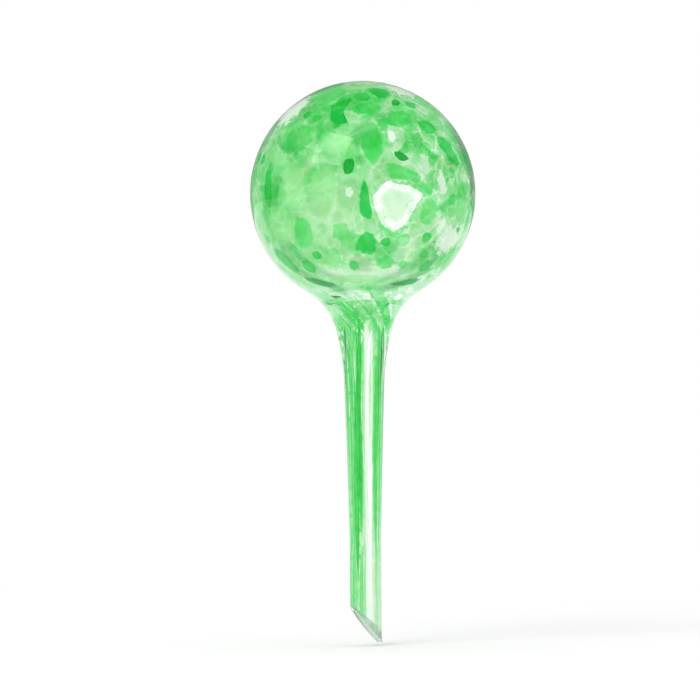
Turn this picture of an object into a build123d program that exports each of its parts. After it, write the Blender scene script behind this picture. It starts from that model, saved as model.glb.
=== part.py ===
from build123d import *
import math
import os
import random

# Glass watering globe: a hollow bulb on a long hollow stem that is pushed into the soil of a plant pot.
# The bulb, neck and stem are one blown piece of clear glass. Broken green and white glass is melted into
# its skin: it lies as chips in the bulb, and drawing the stem has pulled it out into long streaks there.
# Every chip and streak is a piece of its own that fills a pocket in the clear glass, flush with the skin.
#
# Millimetres, +Z up. The origin is on the stem's axis, level with the lowest point of the bevelled tip.
# The front of the globe faces -Y. A longitude is turned from the front towards +X, a latitude is turned up
# from the bulb's equator, and both are in degrees.

# The whole object
overall_length = 150.0
globe_diameter = 60.0

# The bulb's wall, heavier below because the hot glass sagged while it was blown
crown_wall = 1.7
foot_wall = 2.9

# The stem outside: a straight end for the soil, a slow taper, and a neck that flares out to the bulb
stem_diameter = 8.5
straight_length = 30.0
shoulder_diameter = 10.5
neck_length = 26.2
lip_diameter = 30.6

# The bore inside, from the tip up to the mouth of the bulb's cavity
bore_diameter = 6.3
throat_diameter = 7.6
mouth_diameter = 11.0
mouth_flare_angle = 40.0

# The tip, cut aslant so that soil doesn't block it, and rounded in the flame
bevel_angle = 38.5
bevel_turn = 14.0
tip_rounding = 0.35

# Chips in the bulb's skin, with their pitch as a share of the globe's diameter
chip_pitch_share = 0.1933
chip_corners = 7
chip_gap = 0.6
chip_edge_depth = 0.25

# Streaks in the skin of the stem and neck
streak_width = 2.2
streak_depth = 0.6

# How far a cutting tool runs past what it cuts
overrun = 1.0

globe_radius = globe_diameter / 2
globe_height = overall_length - globe_radius
cavity_radius = globe_radius - (crown_wall + foot_wall) / 2
cavity_height = globe_height + (foot_wall - crown_wall) / 2
stem_radius = stem_diameter / 2
shoulder_radius = shoulder_diameter / 2
lip_radius = lip_diameter / 2
bore_radius = bore_diameter / 2
throat_radius = throat_diameter / 2
mouth_radius = mouth_diameter / 2
lip_height = globe_height - math.sqrt(globe_radius**2 - lip_radius**2)
shoulder_height = lip_height - neck_length
mouth_height = cavity_height - math.sqrt(cavity_radius**2 - mouth_radius**2)
mouth_rise = (mouth_radius - throat_radius) / math.tan(math.radians(mouth_flare_angle / 2))
throat_height = mouth_height - mouth_rise
chip_pitch = chip_pitch_share * globe_diameter

# The plainest chips of the front: colour, longitude, latitude and corners in pitches
outlined_chip_shares = [
    ("deep_green", -16, 45, [
        (-0.33, 0.08), (-0.13, -0.49), (0.07, -0.52), (0.32, -0.47), (0.16, -0.32),
        (0.09, 0.02), (0.2, 0.31), (0.17, 0.54), (-0.08, 0.58), (-0.32, 0.44),
    ]),
    ("deep_green", 17, 61, [
        (-0.2, -0.08), (-0.07, -0.3), (0.09, -0.34), (0.28, -0.11),
        (0.26, 0.18), (0, 0.32), (-0.31, 0.24),
    ]),
    ("mid_green", 5, 47, [
        (-0.28, -0.21), (0.04, -0.32), (0.31, -0.15), (0.33, 0.09),
        (0.12, 0.22), (-0.16, 0.18), (-0.35, 0.06),
    ]),
    ("dark_grain", 28, 51, [
        (-0.14, -0.11), (-0.02, -0.15), (0.1, -0.04),
        (0.12, 0.07), (0.05, 0.15), (-0.09, 0.07),
    ]),
    ("mid_green", 24, 40, [
        (-0.31, 0.01), (-0.3, -0.25), (-0.02, -0.32), (0.25, -0.17),
        (0.37, 0.05), (0.31, 0.2), (0.02, 0.18), (-0.22, 0.16),
    ]),
    ("pale_green", -14, 25, [
        (-0.2, -0.29), (0.14, -0.31), (0.43, -0.18), (0.41, 0.1), (0.26, 0.2),
        (0.08, 0.27), (-0.16, 0.27), (-0.31, 0.15), (-0.49, -0.07),
    ]),
    ("mid_green", 5, 23, [
        (-0.25, -0.05), (-0.19, -0.34), (-0.03, -0.53), (0.14, -0.39), (0.26, -0.07),
        (0.27, 0.24), (0.14, 0.42), (-0.09, 0.42), (-0.24, 0.26),
    ]),
    ("dark_grain", 20, 17, [
        (-0.17, 0.02), (-0.04, -0.1), (0.11, -0.15), (0.22, -0.05),
        (0.15, 0.02), (-0.04, 0.14), (-0.14, 0.12),
    ]),
    ("mid_green", 20, 9, [
        (-0.35, -0.11), (-0.07, -0.19), (0.23, -0.25), (0.49, -0.22), (0.4, -0.02),
        (0.12, 0.12), (-0.07, 0.17), (-0.33, 0.24), (-0.41, 0.08),
    ]),
    ("dark_grain", -7, 11, [
        (-0.15, 0.03), (-0.1, -0.16), (0.02, -0.18),
        (0.13, -0.02), (0.13, 0.22), (-0.09, 0.22),
    ]),
    ("opal_white", -7, -1, [
        (-0.1, -0.06), (0, -0.15), (0.09, -0.2), (0.14, -0.06),
        (0.09, 0.08), (0, 0.15), (-0.12, 0.1),
    ]),
    ("deep_green", 1, -5, [
        (-0.13, 0.05), (-0.13, -0.28), (0.03, -0.46), (0.2, -0.44), (0.15, -0.23),
        (0.1, 0.07), (0.08, 0.28), (-0.01, 0.47), (-0.13, 0.44),
    ]),
    ("opal_white", 17, -6, [
        (-0.49, -0.17), (-0.33, -0.49), (-0.05, -0.68), (0.2, -0.54), (0.43, -0.14), (0.57, 0.02),
        (0.62, 0.18), (0.29, 0.35), (0.07, 0.37), (-0.1, 0.47), (-0.24, 0.46), (-0.36, 0.33), (-0.55, 0.11),
    ]),
    ("deep_green", 2, -27, [
        (-0.3, -0.06), (-0.3, -0.25), (0.09, -0.32), (0.23, -0.22),
        (0.23, 0), (0.13, 0.23), (-0.01, 0.36), (-0.12, 0.26),
    ]),
]
# Other chips of the front: colour, longitude, latitude, roll, and width and height in pitches
placed_chip_shares = [
    ("deep_green", 0, 57, 0, 0.52, 0.50),
    ("mid_green", 66, 50, -42, 1.20, 0.72),
    ("deep_green", 43, 34, -20, 0.64, 0.42),
    ("opal_white", 17, 28, 10, 0.26, 0.52),
    ("mid_green", 28, 29, 0, 0.34, 0.36),
    ("deep_green", 54, 20, 34, 0.50, 1.04),
    ("mid_green", -39, 28, 0, 0.98, 0.76),
    ("deep_green", -31, 40, 0, 0.32, 0.30),
    ("pale_green", -38, 2, 0, 0.90, 1.08),
    ("pale_green", -20, 1, 0, 0.76, 1.12),
    ("mid_green", 36, -11, -10, 0.56, 0.72),
    ("opal_white", 44, 4, 12, 0.34, 0.66),
    ("opal_white", 46, -18, -8, 0.28, 0.58),
    ("mid_green", 60, -6, 0, 0.58, 1.12),
    ("deep_green", -56, 3, 0, 0.38, 1.32),
    ("mid_green", -12, -21, 0, 0.48, 0.54),
    ("mid_green", -34, -22, 0, 0.62, 0.92),
    ("pale_green", -19, -36, 0, 0.40, 0.60),
    ("mid_green", 23, -26, 0, 0.44, 0.40),
    ("deep_green", 39, -33, 0, 0.34, 0.30),
    ("mid_green", 14, -39, 0, 0.52, 0.44),
    ("deep_green", -58, -37, 35, 0.50, 0.88),
    ("pale_green", -4, -50, 0, 1.10, 0.34),
    ("deep_green", -38, -53, -22, 1.00, 0.28),
    ("deep_green", 39, -53, 14, 0.96, 0.26),
    ("dark_grain", 62, -20, 10, 0.22, 0.20),
    ("dark_grain", -118, 28, 40, 0.28, 0.24),
    ("dark_grain", 152, -8, 15, 0.30, 0.24),
]
# The other chips lie on an even spiral over the bulb and take these colours by chance
scattered_colours = ["deep_green", "mid_green", "mid_green", "pale_green", "pale_green", "opal_white"]
scattered_seed = 11
chip_size_shares = (0.80, 1.30)
chip_drift_share = 0.20
chip_room_share = 0.70
corner_reach_share = 0.86
corner_drift_share = 0.22
lowest_chip_angle = -48.0
golden_turn = math.pi * (3 - math.sqrt(5))

# Crumbs: small chips on a closer spiral, each of the largest of these sizes, in pitches, that finds room
crumb_colours = ["mid_green", "mid_green", "pale_green", "deep_green"]
crumb_pitch_share = 0.25
crumb_size_shares = (0.58, 0.44, 0.33, 0.27)

# Streaks: colour, longitude, low end and high end in lip heights, width in streak widths, and how far the
# middle and the high end swing towards growing longitude, in streak widths
placed_streak_shares = [
    ("deep_green", -26, 0.16, 0.97, 0.86, 0.00, 1.30),
    ("mid_green", 38, 0.27, 0.96, 1.10, 0.00, 0.40),
    ("pale_green", -72, 0.20, 0.95, 0.80, 0.00, -0.90),
    ("opal_white", 5, 0.42, 0.90, 0.42, 0.00, 0.55),
    ("deep_green", 78, 0.50, 0.97, 0.80, 0.10, 0.80),
    ("mid_green", 118, 0.18, 0.92, 1.00, 0.00, 0.50),
    ("pale_green", 158, 0.24, 0.96, 0.90, 0.10, -0.60),
    ("deep_green", -160, 0.30, 0.95, 0.80, 0.00, 0.70),
    ("mid_green", -118, 0.22, 0.94, 1.00, 0.00, 0.50),
]


def direction(longitude, latitude):
    """Unit vector from the bulb's centre towards a place on its skin."""
    east, up = math.radians(longitude), math.radians(latitude)
    return Vector(math.cos(up) * math.sin(east), -math.cos(up) * math.cos(east), math.sin(up))


def bulb_place(longitude, latitude, roll):
    """Plane through the bulb's centre that looks out at a place on its skin, turned about that way."""
    outward, east = direction(longitude, latitude), direction(longitude + 90, 0)
    across = east.rotate(Axis((0, 0, 0), outward), roll)
    return Plane(origin=(0, 0, globe_height), x_dir=across, z_dir=outward)


def arc_between(place, other):
    """Distance over the bulb's skin between two places."""
    return math.radians(place.z_dir.get_angle(other.z_dir)) * globe_radius


def biarc(start, start_way, end, end_way):
    """Two arcs that leave start along start_way, meet smoothly, and arrive at end along end_way."""
    span, ways = end - start, start_way + end_way
    spread = 1 - start_way.dot(end_way)
    along = span.dot(ways)
    reach = (math.sqrt(along**2 + 2 * spread * span.dot(span)) - along) / (2 * spread)
    middle = (start + end + (start_way - end_way) * reach) * 0.5
    first = TangentArc(start, middle, tangent=start_way)
    second = TangentArc(end, middle, tangent=end_way * -1)
    return [first, second]


def stem_outline(depth):
    """The stem's and neck's outer line up to the lip, moved into the glass by a depth."""
    low = Vector(stem_radius - depth, straight_length)
    shoulder = Vector(shoulder_radius - depth, shoulder_height)
    outward = Vector(lip_radius, lip_height - globe_height).normalized()
    lip = Vector(0, globe_height) + outward * (globe_radius - depth)
    lip_way = Vector(-outward.Y, outward.X)
    return [Line(low, shoulder), *biarc(shoulder, (shoulder - low).normalized(), lip, lip_way)]


def tip_plane():
    """The plane of the slanting cut, facing the glass that stays, with its rounded edge level with zero."""
    slope, turn = math.radians(bevel_angle), math.radians(bevel_turn)
    drop = tip_rounding * (1 / math.tan(slope / 2) - 1)
    point = (stem_radius * math.cos(turn), stem_radius * math.sin(turn), -drop)
    keep_way = (math.cos(slope) * math.cos(turn), math.cos(slope) * math.sin(turn), math.sin(slope))
    return Plane(origin=point, z_dir=keep_way)


def clear_glass():
    """The blown piece before its skin is pocketed: bulb, neck and stem with their cavity and bore."""
    foot = -overrun - tip_rounding / math.tan(math.radians(bevel_angle / 2))
    crown, cavity_top = (0, overall_length), (0, cavity_height + cavity_radius)
    outline = stem_outline(0)
    mouth, throat = (mouth_radius, mouth_height), (throat_radius, throat_height)
    bore_top = (bore_radius, straight_length)
    bore_way = Vector(throat_radius - bore_radius, throat_height - straight_length)
    edges = [
        Line((stem_radius, foot), (stem_radius, straight_length)),
        *outline,
        ThreePointArc((lip_radius, lip_height), (globe_radius, globe_height), crown),
        Line(crown, cavity_top),
        ThreePointArc(cavity_top, (cavity_radius, cavity_height), mouth),
        TangentArc(throat, mouth, tangent=bore_way),
        Line(throat, bore_top),
        Line(bore_top, (bore_radius, foot)),
        Line((bore_radius, foot), (stem_radius, foot)),
    ]
    blown = revolve(Plane.XZ * make_face(edges), axis=Axis.Z)
    cut = tip_plane()
    blown = split(blown, bisect_by=cut, keep=Keep.TOP)
    slanting = blown.faces().sort_by(lambda face: abs(cut.to_local_coords(face.center()).Z))[0]
    return fillet(slanting.edges(), tip_rounding)


def shard(width, height, chance):
    """Corners of an irregular chip, within an ellipse of this width and height."""
    points = []
    for corner in range(chip_corners):
        drift = chance.uniform(-corner_drift_share, corner_drift_share)
        angle = (corner + drift) * 2 * math.pi / chip_corners
        reach = chance.uniform(corner_reach_share, 1) / 2
        points.append(Vector(width * reach * math.cos(angle), height * reach * math.sin(angle)))
    return points


def mean_reach(outline):
    """How far the corners of an outline lie from its middle on average."""
    return sum(corner.length for corner in outline) / len(outline)


def reach_along(outline, way):
    """How far an outline reaches along a way."""
    return max(corner.dot(way) for corner in outline)


def way_between(place, other):
    """Unit way from one place to another, in the first one's own plane."""
    return Vector(other.z_dir.dot(place.x_dir), other.z_dir.dot(place.y_dir)).normalized()


def free_arc(place, other, edge):
    """Distance over the skin from a place to how far the outline at another place reaches towards it."""
    return arc_between(place, other) - reach_along(edge, way_between(other, place))


def clip(points, way, limit):
    """The part of an outline that reaches no further than a limit along a way."""
    kept = []
    for start, end in zip(points, points[1:] + points[:1]):
        before, after = limit - start.dot(way), limit - end.dot(way)
        if before >= 0:
            kept.append(start)
        if before * after < 0:
            kept.append(start + (end - start) * (before / (before - after)))
    return kept


def chip_tool(place, outline, neighbours):
    """Prism that stands out of the bulb's skin, on a flat floor, cut to leave a gap to each neighbour."""
    for way, limit in neighbours:
        outline = clip(outline, way, limit)
    reach = max(corner.length for corner in outline)
    floor = math.sqrt(globe_radius**2 - reach**2) - chip_edge_depth
    plane = Plane(origin=place.origin + place.z_dir * floor, x_dir=place.x_dir, z_dir=place.z_dir)
    return extrude(plane * make_face(Polyline(*outline, close=True)), amount=globe_radius - floor + overrun)


def chip_sites():
    """Colour, place and outline of every chip: the front's own, scattered ones between, then crumbs."""
    chance = random.Random(scattered_seed)
    sites = []
    for colour, longitude, latitude, corners in outlined_chip_shares:
        outline = [Vector(*corner) * chip_pitch for corner in corners]
        sites.append((colour, bulb_place(longitude, latitude, 0), outline))
    for colour, longitude, latitude, roll, *shares in placed_chip_shares:
        width, height = (share * chip_pitch for share in shares)
        sites.append((colour, bulb_place(longitude, latitude, roll), shard(width, height, chance)))
    count = round(4 * math.pi * globe_radius**2 / chip_pitch**2)
    for index in range(count):
        drift = chance.uniform(-chip_drift_share, chip_drift_share) * chip_pitch / globe_radius
        latitude = math.degrees(math.asin(1 - (2 * index + 1) / count) + drift)
        place = bulb_place(math.degrees(index * golden_turn), latitude, chance.uniform(0, 360))
        size = chance.uniform(*chip_size_shares) * chip_pitch
        colour, outline = chance.choice(scattered_colours), shard(size, size, chance)
        half = mean_reach(outline)
        room = min(arc_between(place, other) / (half + mean_reach(edge)) for _, other, edge in sites)
        if latitude > lowest_chip_angle and room > chip_room_share:
            sites.append((colour, place, outline))
    count = round(4 * math.pi * (globe_radius / chip_pitch / crumb_pitch_share) ** 2)
    for index in range(count):
        latitude = math.degrees(math.asin(1 - (2 * index + 1) / count))
        place = bulb_place(math.degrees(index * golden_turn), latitude, chance.uniform(0, 360))
        colour = chance.choice(crumb_colours)
        room = min(free_arc(place, other, edge) for _, other, edge in sites) - chip_gap
        fitting = [share * chip_pitch for share in crumb_size_shares if share * chip_pitch / 2 < room]
        if latitude > lowest_chip_angle and fitting:
            sites.append((colour, place, shard(fitting[0], fitting[0], chance)))
    return sites


def chip_tools():
    """Pairs of colour and tool for every chip of the bulb."""
    tools, sites = [], chip_sites()
    for colour, place, outline in sites:
        neighbours = []
        for _, other, edge in sites:
            turn = arc_between(place, other) / globe_radius
            if 0 < turn < math.pi / 2:
                way = way_between(place, other)
                own, back = reach_along(outline, way), reach_along(edge, way_between(other, place))
                limit = globe_radius * math.sin(turn * own / (own + back)) - chip_gap / 2
                neighbours.append((way, limit))
        tools.append((colour, chip_tool(place, outline, neighbours)))
    return tools


def streak_tool(longitude, low_share, high_share, width, middle_swing, high_swing):
    """Leaf-shaped prism on one side of the stem, on a floor that follows the skin at the streak's depth."""
    low, high = low_share * lip_height, high_share * lip_height
    middle = (low + high) / 2
    reach = lip_radius + overrun
    floor = stem_outline(streak_depth)
    bottom, top = floor[0] @ 0, floor[-1] @ 0
    band = [
        *floor,
        Line((bottom.X, 0), bottom),
        Line((reach, 0), (bottom.X, 0)),
        Line((reach, top.Y), (reach, 0)),
        Line(top, (reach, top.Y)),
    ]
    facing = Plane(origin=(0, 0, 0), x_dir=direction(longitude, 0), z_dir=direction(longitude - 90, 0))
    slab = extrude(facing * make_face(band), amount=lip_radius, both=True)
    left = ThreePointArc((0, low), (middle_swing - width / 2, middle), (high_swing, high))
    right = ThreePointArc((high_swing, high), (middle_swing + width / 2, middle), (0, low))
    side_on = Plane(origin=(0, 0, 0), x_dir=direction(longitude + 90, 0), z_dir=direction(longitude, 0))
    return slab & extrude(side_on * make_face([left, right]), amount=reach)


def streak_tools():
    """Pairs of colour and tool for every streak of the stem and neck."""
    tools = []
    for colour, longitude, low_share, high_share, *shares in placed_streak_shares:
        sizes = [share * streak_width for share in shares]
        tools.append((colour, streak_tool(longitude, low_share, high_share, *sizes)))
    return tools


def export_by_colour(blown, tools, ending):
    """Write one file for each colour, with the glass that its tools take out of the blown piece."""
    for colour in sorted({colour for colour, _ in tools}):
        pieces = [solid for name, tool in tools if name == colour for solid in (blown & tool).solids()]
        export_step(Compound(pieces), f"parts/{colour}_{ending}.step")


os.makedirs("parts", exist_ok=True)
blown_piece = clear_glass()
all_chip_tools = chip_tools()
all_streak_tools = streak_tools()
export_by_colour(blown_piece, all_chip_tools, "chips")
export_by_colour(blown_piece, all_streak_tools, "streaks")
pocketed_piece = blown_piece - [tool for _, tool in all_chip_tools + all_streak_tools]
export_step(pocketed_piece, "parts/clear_glass_body.step")
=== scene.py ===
"""Glass watering globe: a blown bulb on a hollow stem, with green and white glass in its skin."""

import logging
import math
import random
from dataclasses import dataclass
from enum import Enum
from functools import reduce
from typing import Iterable, Sequence

import bpy
from mathutils import Matrix, Vector


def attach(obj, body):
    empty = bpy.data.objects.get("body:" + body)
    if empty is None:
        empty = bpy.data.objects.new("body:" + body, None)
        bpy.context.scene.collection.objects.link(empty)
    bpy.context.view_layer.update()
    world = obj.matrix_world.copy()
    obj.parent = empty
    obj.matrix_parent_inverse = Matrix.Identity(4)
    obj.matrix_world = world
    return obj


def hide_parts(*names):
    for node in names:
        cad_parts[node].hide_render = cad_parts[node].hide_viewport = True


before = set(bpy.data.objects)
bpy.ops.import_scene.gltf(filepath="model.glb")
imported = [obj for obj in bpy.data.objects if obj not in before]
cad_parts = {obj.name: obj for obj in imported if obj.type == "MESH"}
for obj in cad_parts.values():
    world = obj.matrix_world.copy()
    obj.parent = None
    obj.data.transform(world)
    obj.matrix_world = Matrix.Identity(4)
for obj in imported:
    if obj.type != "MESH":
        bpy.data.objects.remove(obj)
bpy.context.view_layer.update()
REPORT = logging.getLogger("watering_globe")
MM = 0.001
PHOTO_SIDE = 700
WHITE = (1, 1, 1, 1)
Rgb = tuple[int, int, int]
Socket = bpy.types.NodeSocket
Sockets = bpy.types.NodeOutputs


class Colour(Enum):
    """The colours of glass that the gather picked up."""

    DEEP = "deep_green"
    MID = "mid_green"
    PALE = "pale_green"
    OPAL = "opal_white"
    GRAIN = "dark_grain"


def linear(colour: Rgb) -> tuple[float, float, float, float]:
    """Turn a colour as the eye sees it into the light that a shader works with.

    Args:
        colour: Red, green and blue from 0 to 255.

    Returns:
        Linear red, green and blue with an alpha of 1.
    """
    parts = [part / 255 for part in colour]
    return tuple(p / 12.92 if p <= 0.04045 else ((p + 0.055) / 1.055) ** 2.4 for p in parts) + (1.0,)


def smooth(value: float) -> float:
    """Ease a number from 0 to 1 in and out."""
    value = min(max(value, 0.0), 1.0)
    return value * value * (3 - 2 * value)


class Wiring:
    """A node tree that is being wired up. A value is a number, a colour or another node's output."""

    def __init__(self, tree: bpy.types.NodeTree) -> None:
        """Keep the tree."""
        self.tree = tree

    def fill(self, sockets: bpy.types.NodeInputs, values: dict) -> None:
        """Set or link a node's inputs.

        Args:
            sockets: The node's inputs.
            values: Socket name or number to its value.
        """
        for key, value in values.items():
            if isinstance(value, Socket):
                self.tree.links.new(value, sockets[key])
            else:
                sockets[key].default_value = value

    def add(self, kind: str, inputs: dict | None = None, **settings: object) -> bpy.types.Node:
        """Add a node, set its options and fill its sockets.

        Args:
            kind: The node's type name after ShaderNode.
            inputs: Socket name or number to its value.
            settings: The node's own options.

        Returns:
            The new node.
        """
        node = self.tree.nodes.new("ShaderNode" + kind)
        for name, value in settings.items():
            setattr(node, name, value)
        self.fill(node.inputs, inputs or {})
        return node

    def group(self, tree: bpy.types.NodeTree, inputs: dict) -> Sockets:
        """Place a shader group and give its outputs."""
        return self.add("Group", inputs, node_tree=tree).outputs

    def sum(self, operation: str, *values: object, clamp: bool = False) -> Socket:
        """Work out numbers with one Math node."""
        return self.add("Math", dict(enumerate(values)), operation=operation, use_clamp=clamp).outputs[0]

    def times(self, *values: object) -> Socket:
        """Multiply numbers, in their order."""
        return reduce(lambda product, value: self.sum("MULTIPLY", product, value), values)

    def line(self, value: object, slope: object, start: object, clamp: bool = False) -> Socket:
        """Work out the value times the slope, plus the start."""
        return self.sum("MULTIPLY_ADD", value, slope, start, clamp=clamp)

    def ease(self, value: object, none: float, full: float) -> Socket:
        """Map a value to 0 at one limit and 1 at the other, eased between them."""
        limits = {"Value": value, "From Min": none, "From Max": full}
        return self.add("MapRange", limits, interpolation_type="SMOOTHSTEP").outputs[0]

    def band(self, value: object, start: float, full: float, falls: float, end: float) -> Socket:
        """Ease a value up between the first two limits and down again between the last two."""
        return self.times(self.ease(value, start, full), self.ease(value, end, falls))

    def mix(self, share: object, first: object, second: object) -> Socket:
        """Blend two colours, with this share of the second."""
        return self.add("Mix", {0: share, 6: first, 7: second}, data_type="RGBA").outputs[2]

    def vector(self, operation: str, *values: object, **named: object) -> Socket:
        """Work out a vector, or its length or dot product, with one Vector Math node."""
        node = self.add("VectorMath", {**dict(enumerate(values)), **named}, operation=operation)
        return node.outputs["Value" if operation in ("LENGTH", "DOT_PRODUCT") else "Vector"]

    def axis(self, vector: Socket, name: str) -> Socket:
        """One axis of a vector."""
        return self.add("SeparateXYZ", {0: vector}).outputs[name]

    def place(self) -> Socket:
        """Where a point lies in the object, in metres."""
        return self.add("TexCoord").outputs["Object"]

    def noise(self, place: Socket, scale: object, **inputs: object) -> Socket:
        """Noise from 0 to 1."""
        return self.add("TexNoise", {"Vector": place, "Scale": scale, **inputs}).outputs["Fac"]

    def carried(self, name: str) -> Socket:
        """A number that the mesh's points carry."""
        return self.add("Attribute", attribute_name=name).outputs["Fac"]

    def glow(self, colour: object, strength: object) -> Socket:
        """Plain light that takes no shade."""
        return self.add("Emission", {"Color": colour, "Strength": strength}).outputs[0]


def new_material(name: str) -> tuple[bpy.types.Material, Wiring]:
    """Start a material with no nodes.

    Args:
        name: The material's name.

    Returns:
        The material and its wiring.
    """
    material = bpy.data.materials.new(name)
    material.use_nodes = True
    material.node_tree.nodes.clear()
    return material, Wiring(material.node_tree)


class GlassGroups:
    """The shader groups that the glass finishes share, each built once."""

    def __init__(self) -> None:
        """Build all the groups."""
        self.cloud = self._cloud()
        self.surface = self._surface()
        self.frit = self._frit()
        self.drawn = self._drawn()

    def _start(
        self, name: str, takes: dict, gives: Sequence[str]
    ) -> tuple[Wiring, Sockets, bpy.types.NodeInputs]:
        """Make an empty group, where a socket named Vector is a vector and any other is a number.

        Args:
            name: The group's name.
            takes: Its inputs, each with its starting value or None.
            gives: Its outputs.

        Returns:
            The group's wiring, what its inputs bring in and what its outputs wait for.
        """
        tree = bpy.data.node_groups.new(name, "ShaderNodeTree")
        for way, names in (("INPUT", takes), ("OUTPUT", gives)):
            for socket in names:
                kind = "NodeSocketVector" if socket == "Vector" else "NodeSocketFloat"
                made = tree.interface.new_socket(name=socket, in_out=way, socket_type=kind)
                if way == "INPUT" and takes[socket] is not None:
                    made.default_value = takes[socket]
        brought = tree.nodes.new("NodeGroupInput").outputs
        return Wiring(tree), brought, tree.nodes.new("NodeGroupOutput").inputs

    def _cloud(self) -> bpy.types.NodeTree:
        """Soft clouds, as where coloured glass lies thicker and thinner.

        Returns:
            The group.
        """
        net, takes, gives = self._start("glass clouds", {"Scale": 150.0, "Softness": 0.5}, ("Cloud", "Fine"))
        place = net.place()
        cloud = net.noise(place, takes["Scale"], Detail=3.0, Roughness=takes["Softness"], Distortion=0.6)
        fine = net.noise(place, net.times(takes["Scale"], 4.5), Detail=2.0, Roughness=0.6)
        net.fill(gives, {"Cloud": net.ease(cloud, 0.34, 0.66), "Fine": net.ease(fine, 0.3, 0.7)})
        return net.tree

    def _surface(self) -> bpy.types.NodeTree:
        """The height of blown glass: slow waves, and seeds, the small bubbles near the skin.

        Returns:
            The group.
        """
        starts = {"Waves": 90.0, "Wave Depth": 0.5, "Seed Depth": 0.3}
        net, takes, gives = self._start("blown surface", starts, ("Height",))
        place = net.place()
        waves = net.noise(place, takes["Waves"], Detail=1.5, Roughness=0.45)
        seeds = net.add("TexVoronoi", {"Vector": place, "Scale": 420.0, "Randomness": 1.0})
        dots = net.sum("SUBTRACT", 1.0, net.ease(seeds.outputs["Distance"], 0.03, 0.12))
        rare = net.ease(net.noise(place, 160.0), 0.6, 0.66)
        high = net.times(dots, rare, takes["Seed Depth"])
        net.fill(gives, {"Height": net.sum("ADD", net.times(waves, takes["Wave Depth"]), high)})
        return net.tree

    def _frit(self) -> bpy.types.NodeTree:
        """Small broken glass: a tone for each crumb, and the pale seams between crumbs.

        Returns:
            The group.
        """
        starts = {"Vector": None, "Scale": 260.0, "Warp": 0.004, "Seam": 0.08}
        net, takes, gives = self._start("fine frit", starts, ("Tone", "Seams"))
        place, scale = takes["Vector"], takes["Scale"]
        drift = net.add("TexNoise", {"Vector": place, "Scale": net.times(scale, 0.6), "Detail": 2.0})
        centred = net.vector("SUBTRACT", drift.outputs["Color"], (0.5, 0.5, 0.5))
        moved = net.vector("ADD", place, net.vector("SCALE", centred, Scale=takes["Warp"]))
        crumbs = net.add("TexVoronoi", {"Vector": moved, "Scale": scale})
        edges = net.add("TexVoronoi", {"Vector": moved, "Scale": scale}, feature="DISTANCE_TO_EDGE")
        tone = net.add("SeparateColor", {0: crumbs.outputs["Color"]}).outputs[0]
        away = net.ease(net.sum("DIVIDE", edges.outputs["Distance"], takes["Seam"]), 0.0, 1.0)
        net.fill(gives, {"Tone": tone, "Seams": net.sum("SUBTRACT", 1.0, away)})
        return net.tree

    def _drawn(self) -> bpy.types.NodeTree:
        """Places that change round the stem and hardly along it, so patterns there are drawn out.

        Returns:
            The group.
        """
        starts = {"Round": 0.012, "Along": 0.05, "Twist": 1.4}
        net, takes, gives = self._start("drawn out", starts, ("Vector",))
        place = net.place()
        way = net.vector("NORMALIZE", net.vector("MULTIPLY", place, (1.0, 1.0, 0.0)))
        height = net.axis(place, "Z")
        twist = net.times(net.ease(height, 0.076, 0.1), takes["Twist"])
        turned = net.add("VectorRotate", {"Vector": way, "Angle": twist}, rotation_type="Z_AXIS")
        about = net.vector("SCALE", turned.outputs[0], Scale=takes["Round"])
        risen = net.add("CombineXYZ", {"Z": net.times(height, takes["Along"])})
        net.fill(gives, {"Vector": net.vector("ADD", about, risen.outputs[0])})
        return net.tree


@dataclass(frozen=True)
class ChipFinish:
    """Coloured glass that lies as a film in the clear skin. Heights are in metres."""

    name: str
    full: Rgb
    thin: Rgb
    density: float
    transmission: float
    roughness: float = 0.04
    edge: float = 0.34
    ragged: float = 1.0
    mottling: float = 230.0
    fainter_behind: float = 0.35
    # painted shade: chips in the foot heights darken towards this colour, for the dark crescent round the
    # bulb's foot
    foot: Rgb = (0, 146, 54)
    foot_shade: float = 0.0
    foot_heights: tuple = (0.086, 0.092, 0.0965, 0.1005)

    def material(self, groups: GlassGroups) -> bpy.types.Material:
        """Make the material: full colour in a chip's middle, thinning and clearing at its rim, with painted
        shade in a band round the bulb's foot.

        Args:
            groups: The shared shader groups.

        Returns:
            The finished material.
        """
        material, net = new_material(self.name)
        cloud = net.group(groups.cloud, {"Scale": self.mottling, "Softness": 0.55})
        blown = net.group(groups.surface, {"Waves": 140.0, "Wave Depth": 0.5, "Seed Depth": 0.3})
        uneven = net.line(cloud["Fine"], 0.1, net.line(cloud["Cloud"], 0.22, -0.16))
        inward = net.line(uneven, self.ragged, net.carried("rim"))
        pooled = net.sum("SUBTRACT", net.ease(inward, 0.05, 0.2), net.ease(inward, 0.2, 0.5))
        depth = net.sum("ADD", net.times(cloud["Cloud"], 0.45), net.times(net.carried("tone"), 0.55))
        deeper = net.line(pooled, 0.35, net.ease(depth, 0.1, 0.9), clamp=True)
        colour = net.mix(deeper, linear(self.thin), linear(self.full))
        # painted shade: a band of heights round the bulb's foot
        painted_foot_shade = net.band(net.axis(net.place(), "Z"), *self.foot_heights)
        behind = net.add("NewGeometry").outputs["Backfacing"]
        cover = net.line(behind, -self.fainter_behind * self.density, self.density)
        bump = net.add("Bump", {"Height": blown[0], "Strength": 0.25, "Distance": 0.0006})
        shader = net.add("BsdfPrincipled", {
            "Base Color": net.mix(net.times(painted_foot_shade, self.foot_shade), colour, linear(self.foot)),
            "Alpha": net.times(net.ease(inward, 0.0, self.edge), cover),
            "Normal": bump.outputs[0],
            "Roughness": net.line(cloud["Fine"], 0.03, self.roughness),
            "Transmission Weight": self.transmission,
            "IOR": 1.0,
            "Coat Weight": 1.0,
            "Coat Roughness": 0.02,
        })
        net.add("OutputMaterial", {"Surface": shader.outputs[0]})
        return material


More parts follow.
